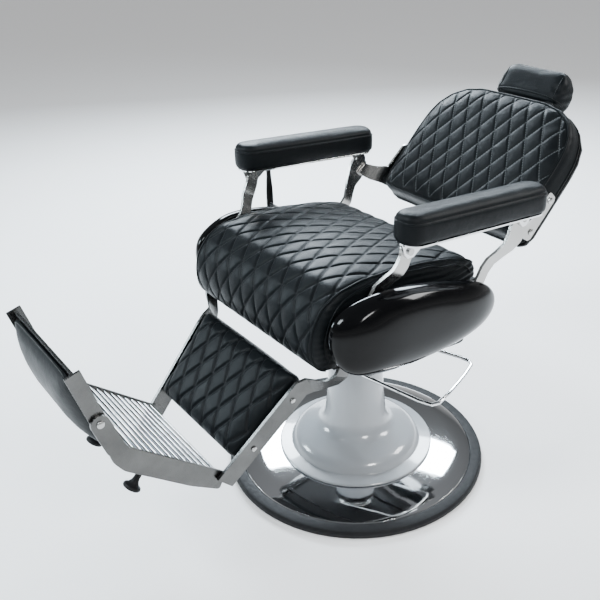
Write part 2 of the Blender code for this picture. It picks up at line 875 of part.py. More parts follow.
def back_slab(name, layers, skin):
    rings = [[back_point(x, along, out) for x, along in back_outline(inset)] for out, inset in layers]
    return finish(name, skin_rings(rings), skin)


def build_back(recline):
    board = back_slab("back_board", ((-BACK_DEPTH, 0.006), (-BACK_DEPTH + 0.012, 0.004)), PLYWOOD)
    attach(board, recline)
    cushion = back_slab(
        "back_cushion",
        (
            (-BACK_DEPTH + 0.0123, 0.004),
            (-BACK_DEPTH + 0.026, 0.0),
            (-0.010, 0.0),
            (-0.003, 0.006),
            (0.002, 0.018),
            (0.006, 0.050),
        ),
        LEATHER,
    )
    attach(cushion, recline)
    strip = [(-0.044, -0.006, 0.104, 0.2585), (-0.038, -0.015, 0.112, 0.2585), (-0.015, -0.020, 0.112, 0.2585)]
    strip.append((-0.0100, -0.022, 0.105, 0.2585))
    tab = [(-0.0040, -0.024, 0.030, 0.2590), (0.0180, -0.032, 0.012, 0.2700), (0.0400, -0.036, 0.002, 0.2820)]
    last = (0.0560, -0.036, -0.004, 0.2824)
    for hand, side in SIDES:
        rings = []
        for out, low, high, x in strip + tab + [last]:
            near, far = (x - 0.0030) * side, (x + 0.0030) * side
            rings.append(
                [
                    back_point(near, low, out),
                    back_point(far, low, out),
                    back_point(far, high, out),
                    back_point(near, high, out),
                ]
            )
        bracket = finish(f"back_bracket_{hand}", skin_rings(rings), CAST_METAL)
        attach(bracket, recline)
        for level, along, out in (("upper", 0.096, -0.027), ("lower", 0.006, -0.028)):
            _, y, z = back_point(0.0, along, out)
            bore = cylinder_x(f"bracket_bore_{level}_{hand}", y, z, 0.0048, ends((0.250, 0.268), side))
            boolean(bracket, bore, "DIFFERENCE")
            bolt = cylinder_x(f"back_bolt_{level}_{hand}", y, z, 0.0044, ends((0.2525, 0.2640), side), STEEL)
            crown = dome_x(f"bolt_crown_{level}_{hand}", y, z, 0.0085, 0.2618 * side, 0.0045 * side)
            boolean(bolt, crown, "UNION")
            attach(bolt, recline)


def dome_x(name, y, z, radius, x, height):
    """A low dome on a plane of constant x, rising by the signed height."""
    rings = []
    for up, scale in ((0.0, 1.0), (0.5, 0.93), (0.85, 0.66), (1.0, 0.25)):
        rings.append(
            [
                (
                    x + height * up,
                    y + radius * scale * math.cos(2 * math.pi * k / 16),
                    z + radius * scale * math.sin(2 * math.pi * k / 16),
                )
                for k in range(16)
            ]
        )
    return finish(name, skin_rings(rings), None)


def build_headrest(recline, head):
    rear = -BACK_DEPTH - GAP
    guide = slab_box("headrest_guide", (-0.032, 0.032), (0.205, 0.300), (rear - 0.0110, rear), DARK_PAINT)
    channel = slab_box("guide_channel", (-0.0155, 0.0155), (0.190, 0.315), (rear - 0.0083, rear - 0.0023), None)
    boolean(guide, channel, "DIFFERENCE")
    attach(guide, recline)
    bar = slab_box("headrest_bar", (-0.0150, 0.0150), (0.180, 0.3495), (rear - 0.0080, rear - 0.0026), CHROME)
    shelf = slab_box("headrest_shelf", (-0.045, 0.045), (0.3475, 0.3515), (-0.098, -0.045), None)
    boolean(bar, shelf, "UNION")
    attach(bar, head)
    layers = []
    for along, half, front, back in (
        (0.3520, 0.100, -0.042, -0.098),
        (0.3600, 0.106, -0.035, -0.104),
        (0.3850, 0.108, -0.032, -0.105),
        (0.4100, 0.105, -0.028, -0.100),
        (0.4280, 0.098, -0.026, -0.094),
        (0.4400, 0.088, -0.030, -0.086),
        (0.4450, 0.070, -0.040, -0.076),
    ):
        ring = []
        for x, out in rounded([(-half, back), (half, back), (half, front), (-half, front)], 0.016, 2):
            ring.append(back_point(x, along, out))
        layers.append(ring)
    attach(finish("headrest_cushion", skin_rings(layers), LEATHER), head)


def slab_box(name, across, along, out, skin):
    """A box given by its place on the backrest."""
    rings = []
    for height in along:
        rings.append(
            [
                back_point(across[0], height, out[0]),
                back_point(across[1], height, out[0]),
                back_point(across[1], height, out[1]),
                back_point(across[0], height, out[1]),
            ]
        )
    return finish(name, skin_rings(rings), skin)


# ---------------------------------------------------------------- legrest


def leg_point(down, out, x):
    """A point by its distance down the leg arms and out of the calf pad's front."""
    along, front = calf_frame()
    place = Vector(LEG_TOP) + along * down + front * out
    return (x, place.x, place.y)


def build_leg_arms(legrest):
    stations = [
        (-0.235, 0.545, 0.0150, 0.2710),
        (-0.252, 0.516, 0.0160, 0.2710),
        (-0.264, 0.494, 0.0170, 0.2705),
        (-0.274, 0.474, 0.0180, 0.2540),
        (-0.286, 0.461, 0.0200, 0.2280),
        (-0.300, 0.4530, 0.0220, 0.2060),
        (-0.318, 0.4470, LEG_HALF_WIDTH, 0.1985),
        (-0.340, 0.4266, LEG_HALF_WIDTH, 0.1955),
        (LEG_FOOT[0], LEG_FOOT[1], LEG_HALF_WIDTH, 0.1660),
    ]
    tail = (AXIS_LEGREST[0], AXIS_LEGREST[1] - TIE_DROP)
    for hand, side in SIDES:
        arm = ribbon(f"leg_arm_{hand}", mirrored(stations, side), 0.0080, CAST_METAL)
        attach(arm, legrest)
        eye = cylinder_x(f"leg_eye_{hand}", *AXIS_LEGREST, 0.0160, ends(LINK_X, side))
        boolean(arm, eye, "UNION")
        lug = cylinder_x(f"leg_lug_{hand}", *tail, 0.0120, ends(LINK_X, side))
        boolean(arm, lug, "UNION")
        pin = cylinder_x(f"leg_tie_pin_{hand}", *tail, SMALL_STUD, ends((0.270, TIE_X[1] + 0.0008), side))
        boolean(arm, pin, "UNION")
        bore = cylinder_x(f"leg_bore_{hand}", *AXIS_LEGREST, STUD + BORE_PLAY, ends((0.262, 0.280), side))
        boolean(arm, bore, "DIFFERENCE")


def arm_inner_x(down):
    """The inner face of the leg arm at a distance down it."""
    length = (Vector(LEG_FOOT) - Vector(LEG_TOP)).length
    return 0.1995 + (0.1660 - 0.1995) * down / length - 0.0045


def build_calf_pad(legrest):
    top, foot = 0.030, 0.218
    board = []
    for down in (top, foot):
        half = arm_inner_x(down) - GAP
        board.append(
            [
                leg_point(down, -0.0200, -half),
                leg_point(down, -0.0200, half),
                leg_point(down, -0.0080, half),
                leg_point(down, -0.0080, -half),
            ]
        )
    attach(finish("calf_board", skin_rings(board), PLYWOOD), legrest)
    rings = []
    start, end = -0.006, 0.226
    for out, inset in ((-0.0077, 0.004), (0.0, 0.0), (0.024, 0.0), (0.032, 0.008), (0.036, 0.024)):
        ring = []
        for down, side in ((start, -1), (start, 1), (end, 1), (end, -1)):
            half = arm_inner_x(max(down, 0.012)) - 0.0020 - inset
            place = down + inset * (1 if down == start else -1)
            ring.append((half * side, place))
        rings.append([leg_point(down, out, x) for x, down in rounded(ring, 0.016, 3)])
    attach(finish("calf_cushion", skin_rings(rings), LEATHER), legrest)
    for hand, side in SIDES:
        for number, down in enumerate((0.046, 0.180)):
            x = (arm_inner_x(down) + 0.0108) * side
            _, y, z = leg_point(down, 0.0, x)
            screw = dome_x(f"leg_screw_{hand}_{number + 1}", y, z, 0.0065, x, 0.0030 * side)
            screw.data.materials.append(STEEL)
            attach(screw, legrest)


def plate_point(along, up, x):
    """A point by its distance forward along the footplate and above its tread."""
    run, normal = plate_frame()
    place = Vector(PLATE_REAR) + run * along + normal * up
    return (x, place.x, place.y)


def build_footplate(legrest):
    length = (Vector(PLATE_FRONT) - Vector(PLATE_REAR)).length
    ribs = 12
    pitch = (length - 0.012) / ribs
    top = []
    for rib in range(ribs):
        start = 0.006 + rib * pitch
        top += [
            (start, -0.0040),
            (start + pitch * 0.20, 0.0),
            (start + pitch * 0.60, 0.0),
            (start + pitch * 0.80, -0.0040),
        ]
    section = [(0.0, -PLATE_THICK), (0.0, -0.0040)] + top + [(length, -0.0040), (length, -PLATE_THICK)]
    rings = [[plate_point(along, up, x) for along, up in section] for x in (-PLATE_HALF, PLATE_HALF)]
    attach(finish("footplate", skin_rings(rings), RIBBED_METAL), legrest)
    side_section = rounded(
        [
            (-0.010, 0.0030),
            (length + 0.017, 0.0040),
            (length + 0.038, -0.0215),
            (length + 0.020, -0.0360),
            (length - 0.014, -0.0470),
            (0.060, -0.0470),
            (-0.020, -0.0390),
        ],
        0.008,
        2,
    )
    for hand, side in SIDES:
        xs = ends((PLATE_HALF + GAP, PLATE_HALF + 0.0068), side)
        rings = [[plate_point(along, up, x) for along, up in side_section] for x in xs]
        attach(finish(f"foot_side_{hand}", skin_rings(rings), CAST_METAL), legrest)


def knuckle_outline():
    """The hinge plate's outline: a bar from the footplate's front, round about the flip hinge."""
    y, z = AXIS_FLIP
    eye = []
    for k in range(9):
        turn = math.radians(15.0 + 180.0 * k / 8)
        eye.append((y + 0.0190 * math.cos(turn), z + 0.0190 * math.sin(turn)))
    return [(-0.7020, 0.4560), (-0.7100, 0.4700)] + eye + [(-0.7480, 0.4620), (-0.7340, 0.4430)]


def build_foot_ends(legrest):
    outline = knuckle_outline()
    for hand, side in SIDES:
        plate = prism(f"foot_knuckle_{hand}", outline, ends((0.1604, 0.1672), side), CAST_METAL)
        attach(plate, legrest)
        bore = cylinder_x(f"knuckle_bore_{hand}", *AXIS_FLIP, SMALL_STUD + BORE_PLAY, ends((0.158, 0.170), side))
        boolean(plate, bore, "DIFFERENCE")
        foot = build_rubber_foot(hand, side)
        attach(foot, legrest)


def build_rubber_foot(hand, side):
    """A mushroom foot on a long stem, square to the underside of the footplate."""
    profile = [
        (0.0080, 0.0),
        (0.0070, 0.0040),
        (0.0070, 0.0720),
        (0.0085, 0.0790),
        (0.0130, 0.0860),
        (0.0190, 0.0895),
        (0.0205, 0.0930),
        (0.0190, 0.0970),
        (0.0110, 0.1000),
    ]
    rings = []
    for radius, depth in profile:
        ring = []
        for k in range(16):
            turn = 2 * math.pi * k / 16
            across = (STEM_X + radius * math.sin(turn)) * side
            ring.append(plate_point(STEM_ALONG + radius * math.cos(turn), -PLATE_THICK - GAP - depth, across))
        rings.append(ring)
    return finish(f"rubber_foot_{hand}", skin_rings(rings), RUBBER)


def flip_point(up, out, x):
    """A point by its distance up the flip pad's arms and out behind them, toward the front."""
    turn = math.radians(74.5)
    run = Vector((-math.cos(turn), math.sin(turn)))
    normal = Vector((-run.y, run.x))
    place = Vector(AXIS_FLIP) + run * up + normal * out
    return (x, place.x, place.y)


def build_flip_pad(flip):
    y, z = AXIS_FLIP
    arm_high = 0.122
    base = slab_flip("flip_frame", (-0.1570, 0.1570), (arm_high - 0.030, arm_high - 0.002), (-0.006, 0.0), RIBBED_METAL)
    attach(base, flip)
    for hand, side in SIDES:
        arm = slab_flip(
            f"flip_arm_{hand}", ends((0.1538, 0.1597), side), (0.006, arm_high), (-0.0170, 0.0150), None
        )
        boolean(base, arm, "UNION")
        eye = cylinder_x(f"flip_eye_{hand}", y, z, 0.0160, ends((0.1530, 0.1601), side))
        boolean(base, eye, "UNION")
        bore = cylinder_x(f"flip_bore_{hand}", y, z, SMALL_STUD + BORE_PLAY, ends((0.150, 0.166), side))
        boolean(base, bore, "DIFFERENCE")
        bolt = cylinder_x(f"flip_bolt_{hand}", y, z, SMALL_STUD, ends((0.1525, 0.1680), side), STEEL)
        crown = dome_x(f"flip_crown_{hand}", y, z, 0.0085, 0.1675 * side, 0.0040 * side)
        boolean(bolt, crown, "UNION")
        attach(bolt, flip)
    rings = []
    for out, inset in ((0.0003, 0.004), (0.006, 0.0), (0.010, 0.002), (0.022, 0.020), (0.032, 0.042), (0.038, 0.066)):
        low, high, half = -0.074 + inset, 0.114 - inset, 0.1490 - inset
        corners = rounded([(-half, low), (half, low), (half, high), (-half, high)], 0.014, 3)
        rings.append([flip_point(up, out, x) for x, up in corners])
    attach(finish("flip_cushion", skin_rings(rings), LEATHER), flip)


def slab_flip(name, across, up, out, skin):
    rings = []
    for height in up:
        rings.append(
            [
                flip_point(height, out[0], across[0]),
                flip_point(height, out[0], across[1]),
                flip_point(height, out[1], across[1]),
                flip_point(height, out[1], across[0]),
            ]
        )
    return finish(name, skin_rings(rings), skin)


# ---------------------------------------------------------------- recline release lever


def build_latch(latch):
    y, z = AXIS_LATCH
    outline = rounded(
        [
            (y - 0.0100, z - 0.0150),
            (y + 0.0100, z - 0.0150),
            (y + 0.0100, z + 0.0400),
            (y + 0.0060, z + 0.0900),
            (y + 0.0100, z + 0.1560),
            (y - 0.0100, z + 0.1560),
            (y - 0.0060, z + 0.0900),
            (y - 0.0100, z + 0.0400),
        ],
        0.006,
        2,
    )
    lever = prism("recline_lever", outline, (-0.3500, -0.3450), DARK_PAINT)
    bore = cylinder_x("latch_bore", y, z, STUD + BORE_PLAY, (-0.3600, -0.3400))
    boolean(lever, bore, "DIFFERENCE")
    attach(lever, latch)


def main():
    swivel = empty("joint_swivel", (0.0, 0.0, COLUMN_TOP))
    lift = empty("joint_lift", (0.0, 0.0, HUB_BOTTOM))
    lever = empty("joint_pump_lever", (0.0, 0.0, LEVER_Z))
    recline = empty("joint_recline", (0.0, *AXIS_RECLINE))
    front = empty("joint_front_posts", (0.0, *AXIS_FRONT_POST))
    arms = empty("joint_armrests", (0.0, *AXIS_ARM_REAR))
    ties = empty("joint_tie_bars", (0.0, AXIS_RECLINE[0], AXIS_RECLINE[1] - TIE_DROP))
    legrest = empty("joint_legrest", (0.0, *AXIS_LEGREST))
    head = empty("joint_headrest", back_point(0.0, 0.350, -0.070))
    flip = empty("joint_flip_pad", (0.0, *AXIS_FLIP))
    latch = empty("joint_recline_lever", (-0.348, *AXIS_LATCH))
    build_base()
    build_lift(lift)
    build_pump_head(swivel, lever)
    build_hub(lift)
    build_under_frame(lift)
    build_seat(lift)
    build_side_frames(lift)
    build_pods(lift)
    build_front_posts(front)
    build_armrests(arms)
    build_rear_posts(recline)
    build_tie_bars(ties)
    build_back(recline)
    build_headrest(recline, head)
    build_leg_arms(legrest)
    build_calf_pad(legrest)
    build_footplate(legrest)
    build_foot_ends(legrest)
    build_flip_pad(flip)
    build_latch(latch)


main()
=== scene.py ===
"""Looks for the hydraulic barber chair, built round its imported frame. Metres, +Z up.

The chair faces -Y and its left side is +X. Cushions are blown up as cloth, quilted and piped in
mesh code; rigid parts keep the frame's shape, with softened edges and their own materials.
"""

import json
import math

import bmesh
import bpy
import numpy as np
from mathutils import Matrix, Vector
from mathutils.bvhtree import BVHTree

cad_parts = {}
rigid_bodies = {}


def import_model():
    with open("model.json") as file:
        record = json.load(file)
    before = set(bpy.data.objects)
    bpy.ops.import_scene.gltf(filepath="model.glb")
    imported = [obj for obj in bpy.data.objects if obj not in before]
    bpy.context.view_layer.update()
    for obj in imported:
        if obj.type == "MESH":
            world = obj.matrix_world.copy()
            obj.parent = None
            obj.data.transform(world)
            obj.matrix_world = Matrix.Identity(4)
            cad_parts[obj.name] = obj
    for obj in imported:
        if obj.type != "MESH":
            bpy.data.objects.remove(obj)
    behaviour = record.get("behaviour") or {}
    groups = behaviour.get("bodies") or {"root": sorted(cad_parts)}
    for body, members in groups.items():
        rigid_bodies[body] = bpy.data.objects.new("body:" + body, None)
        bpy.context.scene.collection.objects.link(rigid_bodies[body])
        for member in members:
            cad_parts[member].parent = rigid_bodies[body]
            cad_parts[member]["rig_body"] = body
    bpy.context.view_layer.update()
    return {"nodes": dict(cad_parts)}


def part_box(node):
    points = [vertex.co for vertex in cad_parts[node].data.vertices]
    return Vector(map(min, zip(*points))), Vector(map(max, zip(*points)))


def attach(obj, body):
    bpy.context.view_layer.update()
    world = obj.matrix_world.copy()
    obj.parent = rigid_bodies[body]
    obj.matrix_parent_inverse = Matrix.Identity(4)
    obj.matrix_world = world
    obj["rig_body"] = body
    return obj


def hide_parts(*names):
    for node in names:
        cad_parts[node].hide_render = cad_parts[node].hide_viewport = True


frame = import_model()
NODES = frame["nodes"]
HANDS = (("left", 1.0), ("right", -1.0))

# Quilting: width and height of a diamond, and one point where two seams cross.
SEAT_CELL, SEAT_CROSSING = (0.0535, 0.1003), (-0.0686, 0.1724)
BACK_CELL, BACK_CROSSING = (0.0507, 0.0921), (-0.1833, 0.1241)
CALF_CELL, CALF_CROSSING = (0.0539, 0.1005), (-0.1872, 0.1079)

# Planes that the pads lie on, as in the frame: foot of the backrest's front and its lean, and
# the top and foot of the legrest's side arms as (y, z).
BACK_FOOT = (0.308, 0.674)
BACK_LEAN = math.radians(44.0)
LEG_TOP = (-0.308, 0.458)
LEG_FOOT = (-0.507, 0.263)
PLATE_REAR = (-0.507, 0.288)
PLATE_FRONT = (-0.700, 0.447)
FLIP_AXIS = (-0.7515, 0.5350)
FLIP_TURN = math.radians(74.5)
SEAT_MIDDLE = (-0.060, 0.580)

# Every pad is stuffed at one pressure. Noise is stretched between these levels before it is used.
STUFFING_PRESSURE = 4.0
STUFFING_STEPS = 20
NOISE_LOW, NOISE_HIGH = 0.3, 0.7

# Leather: cells of the grain to a metre, and how many stitches cross a diamond.
GRAIN_CELLS = 620.0
STITCHES_TO_A_DIAMOND = 7.0
STITCH_SHARE = 0.72
STITCH_WIDTH = (0.008, 0.030)

# Seat: the sloping pan it rests on, as height at a rear y and fall, and how far out it is held.
SEAT_REST_HEIGHT, SEAT_REST_Y, SEAT_REST_FALL = 0.4985, -0.255, 0.0787
SEAT_HELD_HALF = 0.236
SEAT_RIM_X = 0.2400
SEAT_WELTS = (("upper", 0.2380, 0.0028, 1.0), ("lower", 0.2500, 0.0022, 0.86))

# Armrest: how far its pad falls over its length, as a slope, and the level of its sewn groove.
ARM_FALL = 0.026 / 0.360
ARM_SEAM_LEVEL = 0.050
ARM_SEAM_HALF_WIDTH = 0.0022


# ---------------------------------------------------------------- materials


class Shader:
    """One procedural material: a Principled shader and the nodes that feed it."""

    def __init__(self, name):
        self.made = bpy.data.materials.new(name)
        self.made.use_nodes = True
        self.tree = self.made.node_tree
        self.surface = self.tree.nodes["Principled BSDF"]
        self.place = self.tree.nodes.new("ShaderNodeTexCoord").outputs["Object"]

    def join(self, source, target):
        self.tree.links.new(source, target)
        return target

    def set(self, **values):
        """Sets the shader's own sockets; an underscore in a name stands for a space."""
        for name, value in values.items():
            self.surface.inputs[name.replace("_", " ")].default_value = value

    def stretched(self, scale):
        move = self.tree.nodes.new("ShaderNodeMapping")
        move.inputs["Scale"].default_value = scale
        self.join(self.place, move.inputs["Vector"])
        return move.outputs["Vector"]

    def noise(self, scale, detail=4.0, roughness=0.55, stretch=(1.0, 1.0, 1.0)):
        made = self.tree.nodes.new("ShaderNodeTexNoise")
        made.inputs["Scale"].default_value = scale
        made.inputs["Detail"].default_value = detail
        made.inputs["Roughness"].default_value = roughness
        self.join(self.stretched(stretch), made.inputs["Vector"])
        return made.outputs["Fac"]

    def cells(self, scale):
        made = self.tree.nodes.new("ShaderNodeTexVoronoi")
        made.feature = "DISTANCE_TO_EDGE"
        made.inputs["Scale"].default_value = scale
        self.join(self.place, made.inputs["Vector"])
        return made.outputs["Distance"]

    def ranged(self, source, low, high, start, end):
        made = self.tree.nodes.new("ShaderNodeMapRange")
        made.inputs["From Min"].default_value = low
        made.inputs["From Max"].default_value = high
        made.inputs["To Min"].default_value = start
        made.inputs["To Max"].default_value = end
        self.join(source, made.inputs["Value"])
        return made.outputs["Result"]

    def spread(self, source, start, end):
        """The middle of a noise, stretched over a range."""
        return self.ranged(source, NOISE_LOW, NOISE_HIGH, start, end)

    def math(self, operation, first, second=None):
        made = self.tree.nodes.new("ShaderNodeMath")
        made.operation = operation
        for socket, value in zip(made.inputs, (first, second)):
            if value is None:
                continue
            if isinstance(value, (int, float)):
                socket.default_value = value
            else:
                self.join(value, socket)
        return made.outputs["Value"]

    def mixed(self, amount, first, second):
        """A colour between two, each a triple or a socket."""
        made = self.tree.nodes.new("ShaderNodeMix")
        made.data_type = "RGBA"
        self.join(amount, made.inputs["Factor"])
        for socket, value in ((made.inputs[6], first), (made.inputs[7], second)):
            if isinstance(value, tuple):
                socket.default_value = (*value, 1.0)
            else:
                self.join(value, socket)
        return made.outputs[2]

    def colour(self, source):
        self.join(source, self.surface.inputs["Base Color"])

    def rough(self, source):
        self.join(source, self.surface.inputs["Roughness"])

    def bumps(self, *layers):
        """Each layer is a height socket and how far its full height stands, in metres."""
        before = None
        for height, distance in layers:
            made = self.tree.nodes.new("ShaderNodeBump")
            made.inputs["Strength"].default_value = 1.0
            made.inputs["Distance"].default_value = distance
            self.join(height, made.inputs["Height"])
            if before is not None:
                self.join(before, made.inputs["Normal"])
            before = made.outputs["Normal"]
        self.join(before, self.surface.inputs["Normal"])


def leather(
    name, thread, grain=0.00035, dark=(0.0028, 0.0036, 0.0043), light=(0.0068, 0.0088, 0.0102)
):
    """Grained black leather. Where a mesh carries quilt seams, thread stitches run along them."""
    shader = Shader(name)
    tone = shader.mixed(shader.noise(7.0, 5.0), dark, light)
    seams = shader.tree.nodes.new("ShaderNodeAttribute")
    seams.attribute_name = "quilt"
    split = shader.tree.nodes.new("ShaderNodeSeparateXYZ")
    shader.join(seams.outputs["Vector"], split.inputs["Vector"])
    stitches = None
    for across, along in (("X", "Y"), ("Y", "X")):
        away = shader.math("PINGPONG", split.outputs[across], 0.5)
        line = shader.ranged(away, *STITCH_WIDTH, 1.0, 0.0)
        count = shader.math("MULTIPLY", split.outputs[along], STITCHES_TO_A_DIAMOND)
        dash = shader.math("FRACT", count)
        line = shader.math("MULTIPLY", line, shader.math("LESS_THAN", dash, STITCH_SHARE))
        stitches = line if stitches is None else shader.math("MAXIMUM", stitches, line)
    stitches = shader.math("MULTIPLY", stitches, split.outputs["Z"])
    shader.colour(shader.mixed(stitches, tone, thread))
    shader.rough(shader.spread(shader.noise(26.0, 3.0), 0.36, 0.46))
    shader.set(Specular_IOR_Level=0.085, Coat_Weight=0.012, Coat_Roughness=0.20)
    shader.bumps(
        (shader.noise(55.0, 4.0, 0.6), 0.0006),
        (shader.cells(GRAIN_CELLS), grain),
        (stitches, 0.0005),
    )
    return shader.made


def metal(name, colour, roughness, grain=0.0002, stretch=(1.0, 1.0, 1.0), spread=0.10, tint=0.10):
    """Bare metal whose tone and polish vary a little, with fine marks drawn out by the stretch."""
    shader = Shader(name)
    worn = tuple(value * (1.0 - tint) for value in colour)
    shader.colour(shader.mixed(shader.noise(14.0, 5.0), worn, colour))
    marks = shader.noise(180.0, 3.0, 0.6, stretch)
    shader.rough(shader.spread(marks, roughness, roughness + spread))
    shader.set(Metallic=1.0)
    shader.bumps((shader.noise(22.0, 2.0), grain * 2.0), (marks, grain))
    return shader.made


def coated(name, colour, roughness, coat, wave, tint=0.15, grain=0.00002, shine=0.5):
    """Paint or moulded plastic with a clear coat over slow waves."""
    shader = Shader(name)
    deep = tuple(value * (1.0 - tint) for value in colour)
    shader.colour(shader.mixed(shader.noise(5.0, 3.0), deep, colour))
    shader.rough(shader.spread(shader.noise(40.0, 4.0), roughness, roughness + 0.08))
    shader.set(Coat_Weight=coat, Coat_Roughness=0.04, Specular_IOR_Level=shine)
    shader.bumps((shader.noise(9.0, 2.0), wave), (shader.noise(240.0, 2.0), grain))
    return shader.made


def tread(name):
    """Extruded aluminium whose grooves between the ribs are painted dark as shade, while the rib
    tops keep the metal's colour.
    """
    shader = Shader(name)
    slope = np.array([0.0, PLATE_FRONT[1] - PLATE_REAR[1], PLATE_REAR[0] - PLATE_FRONT[0]])
    slope = slope / np.linalg.norm(slope)
    top = max(float(np.dot(vertex.co, slope)) for vertex in NODES["footplate"].data.vertices)
    made = shader.tree.nodes.new("ShaderNodeVectorMath")
    made.operation = "DOT_PRODUCT"
    made.inputs[1].default_value = tuple(slope)
    shader.join(shader.place, made.inputs[0])
    height = shader.ranged(made.outputs["Value"], top - 0.0022, top - 0.0002, 0.0, 1.0)
    # Painted shade: the colour falls to near black the lower a point lies below the rib tops,
    # standing in for the shade in the grooves.
    groove_shade = shader.mixed(shader.noise(30.0), (0.022, 0.023, 0.025), (0.05, 0.052, 0.055))
    shader.colour(shader.mixed(height, groove_shade, (0.50, 0.51, 0.525)))
    marks = shader.noise(160.0, 3.0, 0.6, (0.2, 8.0, 8.0))
    shader.rough(shader.spread(marks, 0.16, 0.28))
    shader.set(Metallic=1.0)
    shader.bumps((marks, 0.00004))
    return shader.made


def rubber(name):
    shader = Shader(name)
    dark, light = (0.006, 0.006, 0.007), (0.016, 0.016, 0.017)
    shader.colour(shader.mixed(shader.noise(18.0, 6.0), dark, light))
    shader.rough(shader.spread(shader.noise(90.0, 3.0), 0.42, 0.62))
    shader.set(Specular_IOR_Level=0.16)
    shader.bumps((shader.noise(420.0, 3.0), 0.0002))
    return shader.made


LEATHER = leather("black_leather", (0.010, 0.010, 0.011))
BACK_LEATHER = leather("black_leather_back", (0.12, 0.13, 0.135))
SMOOTH_LEATHER = leather("black_leather_smooth", (0.010, 0.010, 0.011), 0.00005)
LINING = leather(
    "black_lining", (0.01, 0.01, 0.01), 0.0002, (0.010, 0.010, 0.011), (0.016, 0.016, 0.017)
)
RUBBER = rubber("black_rubber")
CHROME = metal("mirror_chrome", (0.80, 0.81, 0.82), 0.04, 0.00004, spread=0.03, tint=0.05)
CAST = metal("polished_cast_aluminium", (0.52, 0.515, 0.50), 0.14, 0.00005, spread=0.12, tint=0.25)
SATIN = metal("satin_aluminium", (0.20, 0.20, 0.197), 0.17, 0.00014, (1.0, 5.0, 5.0), 0.22, 0.65)
TREAD = tread("extruded_aluminium")
STEEL = metal("plated_steel", (0.55, 0.55, 0.54), 0.20, 0.00003)
ENAMEL = coated("white_enamel", (0.35, 0.372, 0.395), 0.16, 0.8, 0.0004, 0.03)
GLOSS = coated("black_gloss_plastic", (0.0025, 0.0026, 0.0030), 0.07, 0.06, 0.0004, shine=0.15)
PAINT = coated("black_painted_steel", (0.008, 0.008, 0.009), 0.28, 0.05, 0.0003, shine=0.25)
IRON = metal("cast_iron", (0.05, 0.05, 0.05), 0.55, 0.0006)


# ---------------------------------------------------------------- mesh helpers


def points_of(obj):
    found = np.zeros(len(obj.data.vertices) * 3)
    obj.data.vertices.foreach_get("co", found)
    return found.reshape(-1, 3)


def normals_of(obj):
    found = np.zeros(len(obj.data.vertices) * 3)
    obj.data.vertex_normals.foreach_get("vector", found)
    return found.reshape(-1, 3)


def set_points(obj, points):
    obj.data.vertices.foreach_set("co", np.asarray(points, np.float32).ravel())
    obj.data.update()


def smooth(mesh):
    mesh.polygons.foreach_set("use_smooth", [True] * len(mesh.polygons))


def link(name, mesh, skin):
    obj = bpy.data.objects.new(name, mesh)
    bpy.context.scene.collection.objects.link(obj)
    mesh.materials.append(skin)
    return obj


def from_shape(name, shape, skin):
    bmesh.ops.recalc_face_normals(shape, faces=shape.faces)
    mesh = bpy.data.meshes.new(name)
    shape.to_mesh(mesh)
    shape.free()
    smooth(mesh)
    return link(name, mesh, skin)


def clean_copy(node, name, skin):
    """The frame node's shape as a new object, welded, with its flat faces whole again."""
    source = NODES[node].data
    shape = bmesh.new()
    made = [shape.verts.new(vertex.co) for vertex in source.vertices]
    for polygon in source.polygons:
        try:
            shape.faces.new([made[index] for index in polygon.vertices])
        except ValueError:
            continue
    bmesh.ops.remove_doubles(shape, verts=shape.verts, dist=0.00002)
    bmesh.ops.dissolve_limit(
        shape, angle_limit=math.radians(0.6), verts=shape.verts, edges=shape.edges
    )
    return from_shape(name, shape, skin)


def bake(obj):
    """Applies every modifier."""
    graph = bpy.context.evaluated_depsgraph_get()
    mesh = bpy.data.meshes.new_from_object(obj.evaluated_get(graph))
    obj.modifiers.clear()
    obj.data = mesh
    smooth(mesh)


def place(obj, node):
    """The piece stands for a frame node: the node is hidden and the piece rides on that node's
    body.
    """
    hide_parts(node)
    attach(obj, NODES[node]["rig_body"])
    return obj


def refine(node, skin, edge=0.0008, segments=2):
    """A rigid part: the node's shape with rounded edges."""
    obj = clean_copy(node, f"{node}_finished", skin)
    bevel = obj.modifiers.new("soft_edges", "BEVEL")
    bevel.width = edge
    bevel.segments = segments
    bevel.limit_method = "ANGLE"
    bevel.angle_limit = math.radians(28.0)
    bevel.use_clamp_overlap = True
    bevel.harden_normals = True
    return place(obj, node)


def round_ends(obj, node, radius):
    """Rounds the upright corners at both ends of a flat plate."""
    low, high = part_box(node)
    shape = bmesh.new()
    shape.from_mesh(obj.data)
    corners = []
    for edge in shape.edges:
        first, second = (vertex.co for vertex in edge.verts)
        upright = abs((first - second).normalized().z) > 0.99
        at_end = min(abs(first.y - low.y), abs(first.y - high.y)) < 0.001
        if upright and at_end:
            corners.append(edge)
    bmesh.ops.bevel(
        shape, geom=corners, offset=radius, segments=10, affect="EDGES", profile=0.5
    )
    shape.to_mesh(obj.data)
    shape.free()
    smooth(obj.data)


def nearest(obj):
    """A tree that gives the nearest point of the object's surface and the normal there."""
    graph = bpy.context.evaluated_depsgraph_get()
    return BVHTree.FromObject(obj, graph)


def cord_along(name, line, radius, skin, closed=True):
    """A round welt through the points, as a mesh tube."""
    curve = bpy.data.curves.new(name, "CURVE")
    curve.dimensions = "3D"
    curve.bevel_depth = radius
    curve.bevel_resolution = 2
    curve.use_fill_caps = not closed
    spline = curve.splines.new("POLY")
    spline.points.add(len(line) - 1)
    for point, spot in zip(spline.points, line):
        point.co = (*spot, 1.0)
    spline.use_cyclic_u = closed
    obj = bpy.data.objects.new(name, curve)
    bpy.context.scene.collection.objects.link(obj)
    graph = bpy.context.evaluated_depsgraph_get()
    mesh = bpy.data.meshes.new_from_object(obj.evaluated_get(graph))
    bpy.data.objects.remove(obj)
    smooth(mesh)
    return link(name, mesh, skin)


